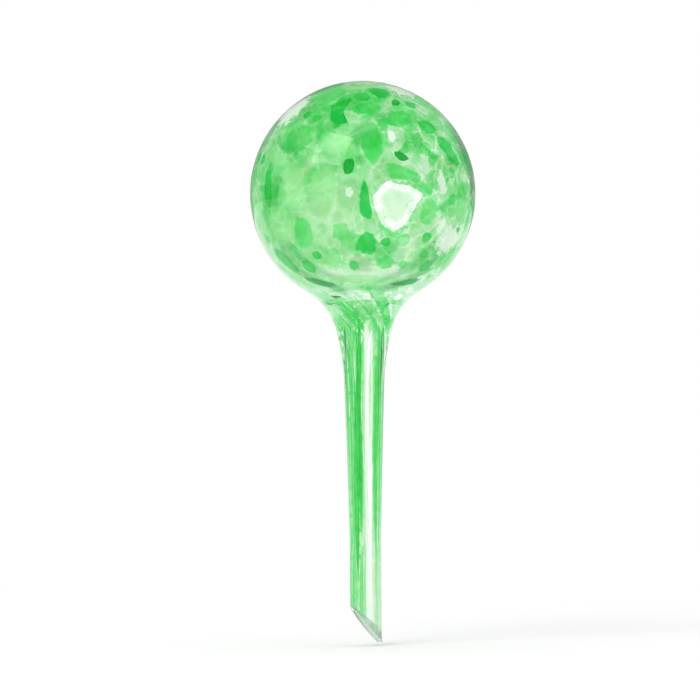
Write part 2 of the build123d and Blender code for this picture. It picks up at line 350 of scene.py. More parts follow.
@dataclass(frozen=True)
class BodyFinish:
    """The clear blown glass, with or without fine frit in its skin."""

    name: str
    clear: Rgb
    pale: Rgb
    mid: Rgb = (106, 230, 124)
    deep: Rgb = (16, 212, 72)
    seam: Rgb = (244, 254, 242)
    # painted shade: colour of the dark crescent round the bulb's foot
    crescent_shade: Rgb = (0, 148, 60)
    # partly painted highlight: near-white of the clear trails where the stem's highlight falls
    highlight_trail: Rgb = (252, 255, 250)
    tinted: bool = True
    roughness: float = 0.0
    ior: float = 1.46
    most_bounces: float = 8.5
    most_mirrorings: float = 2.5

    def material(self, groups: GlassGroups) -> bpy.types.Material:
        """Make the material of one face set of the body.

        A ray that bounces too often, or is mirrored too often inside the glass, is let through.

        Args:
            groups: The shared shader groups.

        Returns:
            The finished material.
        """
        material, net = new_material(self.name)
        cloud = net.group(groups.cloud, {"Scale": 120.0, "Softness": 0.5})
        if self.tinted:
            colour = FritSkin(net, groups, self, cloud).colour()
        else:
            colour = net.mix(cloud["Cloud"], linear(self.clear), linear(self.pale))
        blown = net.group(groups.surface, {"Waves": 85.0, "Wave Depth": 0.7, "Seed Depth": 0.35})
        bump = net.add("Bump", {"Height": blown[0], "Strength": 0.3, "Distance": 0.0008})
        path = net.add("LightPath").outputs
        bounced = net.sum("SUBTRACT", path["Ray Depth"], self.most_bounces)
        mirrored = net.sum("SUBTRACT", path["Glossy Depth"], self.most_mirrorings)
        shader = net.add("BsdfPrincipled", {
            "Base Color": colour,
            "Alpha": net.sum("LESS_THAN", net.sum("MAXIMUM", bounced, mirrored), 0.0),
            "Normal": bump.outputs[0],
            "Roughness": net.line(cloud["Fine"], 0.03, self.roughness),
            "Transmission Weight": 1.0,
            "IOR": self.ior,
        })
        net.add("OutputMaterial", {"Surface": shader.outputs[0]})
        return material


@dataclass
class FritSkin:
    """The colour of the skin: frit on the bulb, drawn out along the stem, with a painted shade crescent at
    the bulb's foot and a painted highlight down the stem. Sizes are in metres.
    """

    net: Wiring
    groups: GlassGroups
    finish: BodyFinish
    cloud: Sockets
    bulb_heights: tuple = (0.09, 0.1)
    lean_way: tuple = (0.9, 0.0, -0.28)
    lean_reach: tuple = (-0.044, -0.018)
    thin_middle: tuple = (0.004, 0.0, 0.110)
    thick_reach: tuple = (0.012, 0.033)
    stem_thick_heights: tuple = (0.07, 0.088)
    stem_thick_sides: tuple = (0.002, 0.0036)
    foot_heights: tuple = (0.0945, 0.0962, 0.0985, 0.1008)
    foot_sides: tuple = (0.016, 0.009)
    # where the painted shade crescent lies round the bulb's foot
    crescent_shade_middle: tuple = (0.0, 0.0, 0.120)
    crescent_shade_ring: tuple = (0.0246, 0.0261, 0.0266, 0.0276)
    crescent_shade_heights: tuple = (0.109, 0.103)
    crescent_shade_sides: tuple = (0.002, 0.006)
    wash_heights: tuple = (0.045, 0.0)
    wash_sides: tuple = (-0.0022, 0.0008)
    # where the clear trails that paint in the stem's highlight lie
    highlight_trail_sides: tuple = (-0.0001, 0.0003, 0.0021, 0.0026)
    highlight_trail_heights: tuple = (0.089, 0.083)

    def __post_init__(self) -> None:
        """Find where a point lies, and how far it leans to +X and the foot, where the white glass is."""
        net = self.net
        self.place = net.place()
        self.aside, self.height = net.axis(self.place, "X"), net.axis(self.place, "Z")
        self.off_axis = net.sum("ABSOLUTE", self.aside)
        self.lean = net.ease(net.vector("DOT_PRODUCT", self.place, self.lean_way), *self.lean_reach)

    def colour(self) -> Socket:
        """Lay every part of the skin over the last.

        Returns:
            The skin's colour.
        """
        net, finish = self.net, self.finish
        colour = net.mix(net.ease(self.height, *self.bulb_heights), self._on_stem(), self._on_bulb())
        for mask, over in (
            (self._foot(), finish.seam), (self._crescent_shade(), finish.crescent_shade),
            (self._wash(), finish.clear), (self._highlight_trail(), finish.highlight_trail),
        ):
            colour = net.mix(mask, colour, linear(over))
        return colour

    def _wavering(self, value: Socket, depth: float) -> Socket:
        """Let a length waver by this much with the clouds."""
        return self.net.sum("ADD", value, self.net.line(self.cloud["Cloud"], depth, -depth / 2))

    def _away(self, middle: Sequence[float]) -> Socket:
        """Distance from the line along Y through a middle."""
        moved = self.net.vector("SUBTRACT", self.place, middle)
        return self.net.vector("LENGTH", self.net.vector("MULTIPLY", moved, (1.0, 0.0, 1.0)))

    def _frit(
        self, place: Socket, scale: float, warp: float, seam: float, rich: object
    ) -> tuple[Socket, Socket]:
        """Colour one size of frit by its tones, with pale seams.

        Args:
            place: Where the pattern is read.
            scale: Crumbs in a metre.
            warp: How far their outlines wander.
            seam: How wide the seams are.
            rich: How thick the frit lies, as a number or an output.

        Returns:
            The colour and each crumb's own tone.
        """
        net, finish, fine = self.net, self.finish, self.cloud["Fine"]
        frit = net.group(self.groups.frit, {"Vector": place, "Scale": scale, "Warp": warp, "Seam": seam})
        thick = net.line(self.lean, 0.1, net.line(rich, 0.5, -0.24))
        tone = net.sum("ADD", frit["Tone"], thick)
        colour = net.mix(net.ease(tone, 0.25, 0.6), linear(finish.pale), linear(finish.mid))
        colour = net.mix(net.ease(tone, 0.68, 0.86), colour, linear(finish.deep))
        colour = net.mix(net.times(fine, 0.18), colour, linear(finish.pale))
        seams = net.times(frit["Seams"], net.ease(fine, 0.0, 0.6), net.line(self.lean, 0.5, 0.55))
        return net.mix(seams, colour, linear(finish.seam)), frit["Tone"]

    def _on_bulb(self) -> Socket:
        """Frit that lies thick round crown and shoulder and thin at front and back, with white flecks.

        Returns:
            The bulb's colour.
        """
        net = self.net
        rich = net.ease(self._wavering(self._away(self.thin_middle), 0.008), *self.thick_reach)
        large, _ = self._frit(self.place, 125.0, 0.007, 0.09, rich)
        small, tone = self._frit(self.place, 250.0, 0.005, 0.12, rich)
        colour = net.mix(net.times(self.cloud["Cloud"], 0.6), large, small)
        flecks = net.times(net.ease(tone, 0.24, 0.14), self.lean)
        return net.mix(net.times(flecks, 0.92), colour, linear(self.finish.seam))

    def _on_stem(self) -> Socket:
        """Frit drawn out into bands, thick at the neck and along the stem's sides.

        Returns:
            The stem's colour.
        """
        net = self.net
        drawn = net.group(self.groups.drawn, {"Round": 0.012, "Along": 0.055})
        sides = net.ease(self.off_axis, *self.stem_thick_sides)
        thick = net.sum("MAXIMUM", net.ease(self.height, *self.stem_thick_heights), sides)
        return self._frit(drawn[0], 420.0, 0.0012, 0.1, net.line(thick, 0.65, 0.45))[0]

    def _foot(self) -> Socket:
        """Where the bulb's foot is pale."""
        across = self.net.ease(self.off_axis, *self.foot_sides)
        return self.net.times(self.net.band(self.height, *self.foot_heights), across, 0.6)

    def _crescent_shade(self) -> Socket:
        """Painted shade: a dark crescent round the foot of the bulb, where the line of sight grazes the
        cavity's lower wall.

        Returns:
            A mask from 0 to 1.
        """
        net = self.net
        shaded_band = net.band(self._wavering(self._away(self.crescent_shade_middle), 0.0012), *self.crescent_shade_ring)
        low = net.times(net.ease(self.height, *self.crescent_shade_heights), net.ease(self.off_axis, *self.crescent_shade_sides))
        return net.times(shaded_band, low, net.line(self.cloud["Fine"], 0.45, 0.5))

    def _wash(self) -> Socket:
        """Where the lower stem runs clear."""
        across = self.net.ease(self.aside, *self.wash_sides)
        return self.net.times(self.net.ease(self.height, *self.wash_heights), across, 0.6)

    def _highlight_trail(self) -> Socket:
        """Two clear trails down the stem, front and back, where no frit was drawn out; their near-white also
        paints in the stem's highlight.
        """
        across = self.net.band(self._wavering(self.aside, 0.0002), *self.highlight_trail_sides)
        return self.net.times(across, self.net.ease(self.height, *self.highlight_trail_heights))


def mesh_object(name: str, points: Sequence[Vector], faces: Sequence[Sequence[int]]) -> bpy.types.Object:
    """Make a smooth mesh object.

    Args:
        name: The piece's name.
        points: Corners, in millimetres.
        faces: Corner numbers of each face.

    Returns:
        The new object.
    """
    mesh = bpy.data.meshes.new(name)
    mesh.from_pydata([point * MM for point in points], [], [list(face) for face in faces])
    mesh.polygons.foreach_set("use_smooth", [True] * len(mesh.polygons))
    mesh.update()
    piece = bpy.data.objects.new(name, mesh)
    bpy.context.scene.collection.objects.link(piece)
    return piece


def arc_points(start: Vector, way: Vector, end: Vector, count: int) -> list[Vector]:
    """Sample an arc that leaves a point along a way.

    Args:
        start: Where the arc starts.
        way: Unit direction in which it leaves.
        end: Where it ends.
        count: How many points come after the start.

    Returns:
        The points after the start, up to and with the end.
    """
    chord = end - start
    bend = math.atan2(way.x * chord.y - way.y * chord.x, way.dot(chord))
    points = []
    for step in range(1, count + 1):
        turn = bend * step / count
        cosine, sine = math.cos(turn), math.sin(turn)
        reach = chord.length * (sine / math.sin(bend) if abs(bend) > 1e-6 else step / count)
        turned = Vector((way.x * cosine - way.y * sine, way.x * sine + way.y * cosine))
        points.append(start + turned * reach)
    return points


@dataclass
class BlownBody:
    """The one blown piece: bulb, neck and hollow stem, in millimetres."""

    length: float = 150.0
    bulb_radius: float = 30.0
    cavity_radius: float = 27.7
    cavity_height: float = 120.6
    stem_radius: float = 4.25
    straight: float = 30.0
    shoulder_radius: float = 5.25
    neck_length: float = 26.2
    lip_radius: float = 15.3
    bore_radius: float = 3.15
    throat_radius: float = 3.8
    throat_height: float = 88.78
    mouth_radius: float = 5.5
    bevel_angle: float = 38.5
    bevel_turn: float = 14.0
    tip_rounding: float = 0.35
    tip_top: float = 12.0
    segments: int = 224
    ball_steps: int = 96
    taper_steps: int = 14
    flare_steps: tuple = (18, 22)
    straight_steps: int = 5
    tip_steps: int = 4
    rounding_steps: int = 5
    bore_steps: int = 16
    mouth_steps: int = 12

    @property
    def bulb_height(self) -> float:
        """Height of the bulb's centre."""
        return self.length - self.bulb_radius

    @property
    def lip_height(self) -> float:
        """Height at which the neck meets the bulb."""
        return self.bulb_height - math.sqrt(self.bulb_radius**2 - self.lip_radius**2)

    def outline(self) -> list[Vector]:
        """The neck's and stem's outer line from the straight end up to the lip.

        Returns:
            Points as radius and height.
        """
        low = Vector((self.stem_radius, self.straight))
        shoulder = Vector((self.shoulder_radius, self.lip_height - self.neck_length))
        lip = Vector((self.lip_radius, self.lip_height))
        start = (shoulder - low).normalized()
        outward = Vector((self.lip_radius, self.lip_height - self.bulb_height)).normalized()
        finish = Vector((-outward.y, outward.x))
        span, spread = lip - shoulder, 1 - start.dot(finish)
        along = span.dot(start + finish)
        reach = (math.sqrt(along**2 + 2 * spread * span.dot(span)) - along) / (2 * spread)
        middle = (shoulder + lip + (start - finish) * reach) / 2
        taper = [low.lerp(shoulder, step / self.taper_steps) for step in range(self.taper_steps + 1)]
        first = arc_points(shoulder, start, middle, self.flare_steps[0])
        second = arc_points(lip, -finish, middle, self.flare_steps[1])
        return taper + first + second[-2::-1] + [lip]

    def radius_at(self, height: float) -> float:
        """Outer radius of the stem, neck or bulb at a height.

        Args:
            height: Height above the tip.

        Returns:
            The radius.
        """
        line = self.outline()
        if height <= line[0].y:
            return self.stem_radius
        for low, high in zip(line, line[1:]):
            if low.y <= height <= high.y:
                return low.x + (high.x - low.x) * (height - low.y) / (high.y - low.y)
        return math.sqrt(max(self.bulb_radius**2 - (height - self.bulb_height) ** 2, 0.0))

    def _level(self, radius: float, height: float) -> list[Vector]:
        """One level ring of points."""
        turns = [2 * math.pi * step / self.segments for step in range(self.segments)]
        return [Vector((radius * math.cos(turn), radius * math.sin(turn), height)) for turn in turns]

    def _ball(self, radius: float, height: float, lean: float) -> list[Vector]:
        """A level ring on a ball with its centre at this height."""
        return self._level(radius * math.cos(lean), height + radius * math.sin(lean))

    def _rim(self) -> list[list[Vector]]:
        """The slanting, flame-rounded tip, from the outer wall over the rim into the bore.

        Returns:
            Its rings of points.
        """
        bevel, rounding = math.radians(self.bevel_angle), self.tip_rounding
        slope = 1 / math.tan(bevel)
        middle = slope * self.stem_radius - rounding * (1 / math.tan(bevel / 2) - 1)
        outer, inner = self.stem_radius - rounding, self.bore_radius + rounding
        top, levels = self.tip_top, self.tip_steps
        columns = []
        for step in range(self.segments):
            turn = 2 * math.pi * step / self.segments
            lean = -slope * math.cos(turn - math.radians(self.bevel_turn))
            steep, down = math.sqrt(1 + lean**2), math.atan2(-1.0, lean)
            outside = middle + lean * outer + rounding * steep
            inside = middle + lean * inner + rounding * steep
            line = [(self.stem_radius, top + (outside - top) * level / levels) for level in range(levels)]
            for radius, height, start, sweep in (
                (outer, outside, 0.0, down), (inner, inside, down, -math.pi - down),
            ):
                for part in range(self.rounding_steps + 1):
                    angle = start + sweep * part / self.rounding_steps
                    line.append((radius + rounding * math.cos(angle), height + rounding * math.sin(angle)))
            for level in range(1, levels + 1):
                line.append((self.bore_radius, inside + (top - inside) * level / levels))
            cosine, sine = math.cos(turn), math.sin(turn)
            columns.append([Vector((radius * cosine, radius * sine, height)) for radius, height in line])
        return [list(ring) for ring in zip(*columns)]

    def _rings(self) -> tuple[list[list[Vector]], int, int]:
        """All rings, from the crown down the outside, over the tip and up the inside.

        Returns:
            The rings, the first one of the rim and the first one inside.
        """
        quarter, tip, straight = math.pi / 2, self.tip_top, self.straight
        low = math.asin((self.lip_height - self.bulb_height) / self.bulb_radius)
        rings = []
        for step in range(1, self.ball_steps + 1):
            lean = quarter + (low - quarter) * step / self.ball_steps
            rings.append(self._ball(self.bulb_radius, self.bulb_height, lean))
        rings += [self._level(point.x, point.y) for point in self.outline()[-2::-1]]
        for step in range(1, self.straight_steps):
            height = straight + (tip - straight) * step / self.straight_steps
            rings.append(self._level(self.stem_radius, height))
        rim = len(rings) + self.tip_steps - 1
        rings += self._rim()
        inside = len(rings) - self.tip_steps - 1
        for step in range(1, self.tip_steps + 1):
            rings.append(self._level(self.bore_radius, tip + (straight - tip) * step / self.tip_steps))
        throat = Vector((self.throat_radius, self.throat_height))
        bore = Vector((self.bore_radius, straight))
        for step in range(1, self.bore_steps + 1):
            rings.append(self._level(*bore.lerp(throat, step / self.bore_steps)))
        mouth_height = self.cavity_height - math.sqrt(self.cavity_radius**2 - self.mouth_radius**2)
        mouth = Vector((self.mouth_radius, mouth_height))
        flare = arc_points(throat, (throat - bore).normalized(), mouth, self.mouth_steps)
        rings += [self._level(*point) for point in flare]
        start = math.asin((mouth_height - self.cavity_height) / self.cavity_radius)
        for step in range(1, self.ball_steps):
            lean = start + (quarter - start) * step / self.ball_steps
            rings.append(self._ball(self.cavity_radius, self.cavity_height, lean))
        return rings, rim, inside

    def build(self) -> bpy.types.Object:
        """Make the closed body with its real wall.

        Returns:
            The body, with material numbers for skin, rim and inside.
        """
        rings, rim, inside = self._rings()
        points = [point for ring in rings for point in ring]
        crown, top = len(points), len(points) + 1
        points += [Vector((0, 0, self.length)), Vector((0, 0, self.cavity_height + self.cavity_radius))]
        count, faces, kinds = self.segments, [], []
        for ring in range(len(rings) - 1):
            here, below = ring * count, (ring + 1) * count
            for step in range(count):
                after = (step + 1) % count
                faces.append((here + step, below + step, below + after, here + after))
            kinds += [0 if ring < rim else 1 if ring < inside else 2] * count
        last = (len(rings) - 1) * count
        for step in range(count):
            after = (step + 1) % count
            faces += [(crown, step, after), (top, last + after, last + step)]
        piece = mesh_object("blown_body", points, faces)
        piece.data.polygons.foreach_set("material_index", kinds + [0, 2] * count)
        return piece

    def dress(self, groups: GlassGroups) -> bpy.types.Object:
        """Build the body, give it its glass and put it on the part.

        Args:
            groups: The shared shader groups.

        Returns:
            The finished body.
        """
        piece = self.build()
        for finish in (
            BodyFinish("frit_skin_glass", (226, 244, 228), (184, 239, 180)),
            BodyFinish("clear_rim_glass", (140, 168, 148), (186, 210, 190), tinted=False),
            BodyFinish("clear_inside_glass", (246, 253, 246), (232, 250, 232), tinted=False, roughness=0.09),
        ):
            piece.data.materials.append(finish.material(groups))
        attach(piece, "root")
        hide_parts("clear_glass_body")
        return piece


def heading(longitude: float, latitude: float) -> Vector:
    """Unit vector from the bulb's centre towards a place on its skin, by angles in degrees."""
    east, up = math.radians(longitude), math.radians(latitude)
    return Vector((math.cos(up) * math.sin(east), -math.cos(up) * math.cos(east), math.sin(up)))


@dataclass(frozen=True)
class SkinPlace:
    """A place on the bulb, with its outward way and two ways along the skin."""

    outward: Vector
    across: Vector
    up: Vector

    @classmethod
    def at(cls, longitude: float, latitude: float, roll: float) -> "SkinPlace":
        """Find a place by its angles in degrees.

        Args:
            longitude: Turn from the front towards +X.
            latitude: Turn up from the equator.
            roll: Turn about the outward way.

        Returns:
            The place.
        """
        outward, east = heading(longitude, latitude), heading(longitude + 90, 0)
        across = Matrix.Rotation(math.radians(roll), 3, outward) @ east
        return cls(outward, across, outward.cross(across))

    def angle_to(self, other: "SkinPlace") -> float:
        """Angle in radians between two places."""
        return self.outward.angle(other.outward)


def rounded(outline: Sequence[Vector], rounds: int) -> list[Vector]:
    """Cut the corners of a closed outline again and again.

    Args:
        outline: The outline's corners.
        rounds: How often to cut.

    Returns:
        The smoother outline.
    """
    line = list(outline)
    for _ in range(rounds):
        line = [
            point
            for start, end in zip(line, line[1:] + line[:1])
            for point in (start.lerp(end, 0.17), start.lerp(end, 0.83))
        ]
    return line


class FilmMesh:
    """Gathers many small films of glass into one mesh, with how far inside its rim each point lies."""

    def __init__(self) -> None:
        """Start empty."""
        self.points: list[Vector] = []
        self.faces: list[tuple[int, ...]] = []
        self.rims: list[float] = []
        self.tones: list[float] = []

    def add_rows(self, rows: Sequence[Sequence[tuple]], tone: float, closed: bool = False) -> None:
        """Add a film that is made of rows.

        Args:
            rows: Rows of points, each with how far inside the rim it lies, from 0 to 1.
            tone: The film's own tone from 0 to 1.
            closed: Whether each row is a ring.
        """
        first, count = len(self.points), len(rows[0])
        for row in rows:
            self.points += [point for point, _ in row]
            self.rims += [rim for _, rim in row]
        self.tones += [tone] * (len(rows) * count)
        for number in range(len(rows) - 1):
            here, beyond = first + number * count, first + (number + 1) * count
            for step in range(count if closed else count - 1):
                after = (step + 1) % count
                self.faces.append((here + step, here + after, beyond + after, beyond + step))

    def add_round(self, rings: Sequence[Sequence[Vector]], centre: Vector, tone: float) -> None:
        """Add one round film.

        Args:
            rings: Rings of points from the rim inwards.
            centre: The middle point.
            tone: The film's own tone from 0 to 1.
        """
        levels, count = len(rings), len(rings[0])
        rims = [(number / levels) ** 1.3 for number in range(levels)]
        rows = [[(point, rim) for point in ring] for ring, rim in zip(rings, rims)]
        self.add_rows(rows, tone, closed=True)
        middle = len(self.points)
        self.points.append(centre)
        self.rims.append(1.0)
        self.tones.append(tone)
        for step in range(count):
            self.faces.append((middle - count + step, middle - count + (step + 1) % count, middle))

    def make(self, name: str) -> bpy.types.Object:
        """Make the object.

        Args:
            name: The piece's name.

        Returns:
            The object, with its rim and tone attributes.
        """
        piece = mesh_object(name, self.points, self.faces)
        for attribute, values in (("rim", self.rims), ("tone", self.tones)):
            piece.data.attributes.new(attribute, "FLOAT", "POINT").data.foreach_set("value", values)
        return piece


@dataclass
class Chip:
    """One chip of coloured glass in the bulb's skin."""

    colour: Colour
    place: SkinPlace
    outline: list[Vector]

    def reach_along(self, way: Vector) -> float:
        """How far the chip reaches along a way in its own plane."""
        return max(corner.dot(way) for corner in self.outline)

    def mean_reach(self) -> float:
        """How far its corners lie from its middle on average."""
        return sum(corner.length for corner in self.outline) / len(self.outline)

    def way_to(self, other: "Chip") -> Vector:
        """Unit way to another chip in this one's plane."""
        outward = other.place.outward
        return Vector((outward.dot(self.place.across), outward.dot(self.place.up))).normalized()


@dataclass
class ChipLayer:
    """The chips of broken glass in the bulb's skin, in millimetres and shares of their pitch."""

    body: BlownBody
    pitch: float = 11.598
    gap: float = 0.6
    corners: int = 7
    seed: int = 11
    sizes: tuple[float, float] = (0.80, 1.30)
    drift: float = 0.20
    room: float = 0.70
    corner_reach: float = 0.86
    corner_drift: float = 0.22
    lowest: float = -48.0
    crumb_spacing: float = 0.25
    crumb_sizes: tuple = (0.58, 0.44, 0.33, 0.27)
    lift: float = 0.03
    grain_lift: float = 2.0
    whole_tones: tuple = (0.9, 1.0)
    worn_tones: tuple = (0.0, 0.62)
    swell: float = 0.012
    overlap: float = 1.05
    levels: int = 7
    outlined: tuple = (
        ("deep_green", -16, 45, (
            (-0.33, 0.08), (-0.13, -0.49), (0.07, -0.52), (0.32, -0.47), (0.16, -0.32),
            (0.09, 0.02), (0.2, 0.31), (0.17, 0.54), (-0.08, 0.58), (-0.32, 0.44),
        )),
        ("deep_green", 17, 61, (
            (-0.2, -0.08), (-0.07, -0.3), (0.09, -0.34), (0.28, -0.11),
            (0.26, 0.18), (0, 0.32), (-0.31, 0.24),
        )),
        ("mid_green", 5, 47, (
            (-0.28, -0.21), (0.04, -0.32), (0.31, -0.15), (0.33, 0.09),
            (0.12, 0.22), (-0.16, 0.18), (-0.35, 0.06),
        )),
        ("dark_grain", 28, 51, (
            (-0.14, -0.11), (-0.02, -0.15), (0.1, -0.04),
            (0.12, 0.07), (0.05, 0.15), (-0.09, 0.07),
        )),
        ("mid_green", 24, 40, (
            (-0.31, 0.01), (-0.3, -0.25), (-0.02, -0.32), (0.25, -0.17),
            (0.37, 0.05), (0.31, 0.2), (0.02, 0.18), (-0.22, 0.16),
        )),
        ("pale_green", -14, 25, (
            (-0.2, -0.29), (0.14, -0.31), (0.43, -0.18), (0.41, 0.1), (0.26, 0.2),
            (0.08, 0.27), (-0.16, 0.27), (-0.31, 0.15), (-0.49, -0.07),
        )),
        ("mid_green", 5, 23, (
            (-0.25, -0.05), (-0.19, -0.34), (-0.03, -0.53), (0.14, -0.39), (0.26, -0.07),
            (0.27, 0.24), (0.14, 0.42), (-0.09, 0.42), (-0.24, 0.26),
        )),
        ("dark_grain", 20, 17, (
            (-0.17, 0.02), (-0.04, -0.1), (0.11, -0.15), (0.22, -0.05),
            (0.15, 0.02), (-0.04, 0.14), (-0.14, 0.12),
        )),
        ("mid_green", 20, 9, (
            (-0.35, -0.11), (-0.07, -0.19), (0.23, -0.25), (0.49, -0.22), (0.4, -0.02),
            (0.12, 0.12), (-0.07, 0.17), (-0.33, 0.24), (-0.41, 0.08),
        )),
        ("dark_grain", -7, 11, (
            (-0.15, 0.03), (-0.1, -0.16), (0.02, -0.18),
            (0.13, -0.02), (0.13, 0.22), (-0.09, 0.22),
        )),
        # painted highlight: this small opal chip sits on a white highlight spot of the bulb
        ("opal_white", -7, -1, (
            (-0.1, -0.06), (0, -0.15), (0.09, -0.2), (0.14, -0.06),
            (0.09, 0.08), (0, 0.15), (-0.12, 0.1),
        )),
        ("deep_green", 1, -5, (
            (-0.13, 0.05), (-0.13, -0.28), (0.03, -0.46), (0.2, -0.44), (0.15, -0.23),
            (0.1, 0.07), (0.08, 0.28), (-0.01, 0.47), (-0.13, 0.44),
        )),
        # painted reflection: this large opal chip lies where the window's reflection falls and paints it in
        # as white glass
        ("opal_white", 17, -6, (
            (-0.49, -0.17), (-0.33, -0.49), (-0.05, -0.68), (0.2, -0.54), (0.43, -0.14),
            (0.57, 0.02), (0.62, 0.18), (0.29, 0.35), (0.07, 0.37), (-0.1, 0.47),
            (-0.24, 0.46), (-0.36, 0.33), (-0.55, 0.11),
        )),
        ("deep_green", 2, -27, (
            (-0.3, -0.06), (-0.3, -0.25), (0.09, -0.32), (0.23, -0.22),
            (0.23, 0), (0.13, 0.23), (-0.01, 0.36), (-0.12, 0.26),
        )),
    )
    placed: tuple = (
        ("deep_green", 0, 57, 0, 0.52, 0.50), ("mid_green", 66, 50, -42, 1.20, 0.72),
        ("deep_green", 43, 34, -20, 0.64, 0.42), ("opal_white", 17, 28, 10, 0.26, 0.52),
        ("mid_green", 28, 29, 0, 0.34, 0.36), ("deep_green", 54, 20, 34, 0.50, 1.04),
        ("mid_green", -39, 28, 0, 0.98, 0.76), ("deep_green", -31, 40, 0, 0.32, 0.30),
        ("pale_green", -38, 2, 0, 0.90, 1.08), ("pale_green", -20, 1, 0, 0.76, 1.12),
        ("mid_green", 36, -11, -10, 0.56, 0.72), ("opal_white", 44, 4, 12, 0.34, 0.66),
        ("opal_white", 46, -18, -8, 0.28, 0.58), ("mid_green", 60, -6, 0, 0.58, 1.12),
        ("deep_green", -56, 3, 0, 0.38, 1.32), ("mid_green", -12, -21, 0, 0.48, 0.54),
        ("mid_green", -34, -22, 0, 0.62, 0.92), ("pale_green", -19, -36, 0, 0.40, 0.60),
        ("mid_green", 23, -26, 0, 0.44, 0.40), ("deep_green", 39, -33, 0, 0.34, 0.30),
        ("mid_green", 14, -39, 0, 0.52, 0.44), ("deep_green", -58, -37, 35, 0.50, 0.88),
        ("pale_green", -4, -50, 0, 1.10, 0.34), ("deep_green", -38, -53, -22, 1.00, 0.28),
        ("deep_green", 39, -53, 14, 0.96, 0.26), ("dark_grain", 62, -20, 10, 0.22, 0.20),
        ("dark_grain", -118, 28, 40, 0.28, 0.24), ("dark_grain", 152, -8, 15, 0.30, 0.24),
    )
    scattered: tuple = ("deep_green", "mid_green", "mid_green", "pale_green", "pale_green", "opal_white")
    crumbs: tuple = ("mid_green", "mid_green", "pale_green", "deep_green")

    def _shard(self, width: float, height: float, chance: random.Random) -> list[Vector]:
        """Draw an irregular chip within an ellipse.

        Args:
            width: The ellipse's width.
            height: Its height.
            chance: Where the random draws come from.

        Returns:
            The chip's corners.
        """
        points = []
        for corner in range(self.corners):
            drift = chance.uniform(-self.corner_drift, self.corner_drift)
            angle = (corner + drift) * 2 * math.pi / self.corners
            reach = chance.uniform(self.corner_reach, 1) / 2
            points.append(Vector((width * reach * math.cos(angle), height * reach * math.sin(angle))))
        return points

    def sites(self) -> list[Chip]:
        """Lay out the outlined, placed and scattered chips, then crumbs where there is room.

        Returns:
            All chips as they lie before they are cut back from each other.
        """
        radius, chance, chips = self.body.bulb_radius, random.Random(self.seed), []
        golden = math.pi * (3 - math.sqrt(5))
        for colour, longitude, latitude, corners in self.outlined:
            outline = [Vector(corner) * self.pitch for corner in corners]
            chips.append(Chip(Colour(colour), SkinPlace.at(longitude, latitude, 0), outline))
        for colour, longitude, latitude, roll, *shares in self.placed:
            outline = self._shard(*(share * self.pitch for share in shares), chance)
            chips.append(Chip(Colour(colour), SkinPlace.at(longitude, latitude, roll), outline))
        count = round(4 * math.pi * radius**2 / self.pitch**2)
        for index in range(count):
            drift = chance.uniform(-self.drift, self.drift) * self.pitch / radius
            latitude = math.degrees(math.asin(1 - (2 * index + 1) / count) + drift)
            place = SkinPlace.at(math.degrees(index * golden), latitude, chance.uniform(0, 360))
            size = chance.uniform(*self.sizes) * self.pitch
            chip = Chip(Colour(chance.choice(self.scattered)), place, self._shard(size, size, chance))
            half = chip.mean_reach()
            room = min(place.angle_to(o.place) * radius / (half + o.mean_reach()) for o in chips)
            if latitude > self.lowest and room > self.room:
                chips.append(chip)
        count = round(4 * math.pi * (radius / self.pitch / self.crumb_spacing) ** 2)
        for index in range(count):
            latitude = math.degrees(math.asin(1 - (2 * index + 1) / count))
            place = SkinPlace.at(math.degrees(index * golden), latitude, chance.uniform(0, 360))
            chip = Chip(Colour(chance.choice(self.crumbs)), place, [])
            room = min(place.angle_to(o.place) * radius - o.reach_along(o.way_to(chip)) for o in chips)
            room -= self.gap
            fitting = [share * self.pitch for share in self.crumb_sizes if share * self.pitch / 2 < room]
            if latitude > self.lowest and fitting:
                chip.outline = self._shard(fitting[0], fitting[0], chance)
                chips.append(chip)
        return chips

    def _cut_back(self, chip: Chip, chips: Iterable[Chip]) -> list[Vector]:
        """Cut a chip to leave a gap to each neighbour.

        Args:
            chip: The chip.
            chips: All the chips.

        Returns:
            The outline that is left.
        """
        outline, radius = chip.outline, self.body.bulb_radius
        for other in chips:
            turn = chip.place.angle_to(other.place)
            if not 1e-6 < turn < math.pi / 2:
                continue
            way = chip.way_to(other)
            own, back = chip.reach_along(way), other.reach_along(other.way_to(chip))
            limit = radius * math.sin(turn * own / (own + back)) - self.gap / 2
            kept = []
            for start, end in zip(outline, outline[1:] + outline[:1]):
                before, after = limit - start.dot(way), limit - end.dot(way)
                if before >= 0:
                    kept.append(start)
                if before * after < 0:
                    kept.append(start + (end - start) * (before / (before - after)))
            outline = kept
        return outline

    def _on_bulb(self, place: SkinPlace, point: Vector, lift: float) -> Vector:
        """Put a point of a flat outline on the bulb.

        Args:
            place: The chip's place.
            point: The point in the chip's plane.
            lift: How far above the skin it lies.

        Returns:
            The point on the bulb.
        """
        radius = self.body.bulb_radius
        rise = math.sqrt(radius**2 - point.length_squared)
        way = (place.across * point.x + place.up * point.y + place.outward * rise).normalized()
        return way * (radius + lift) + Vector((0, 0, self.body.bulb_height))

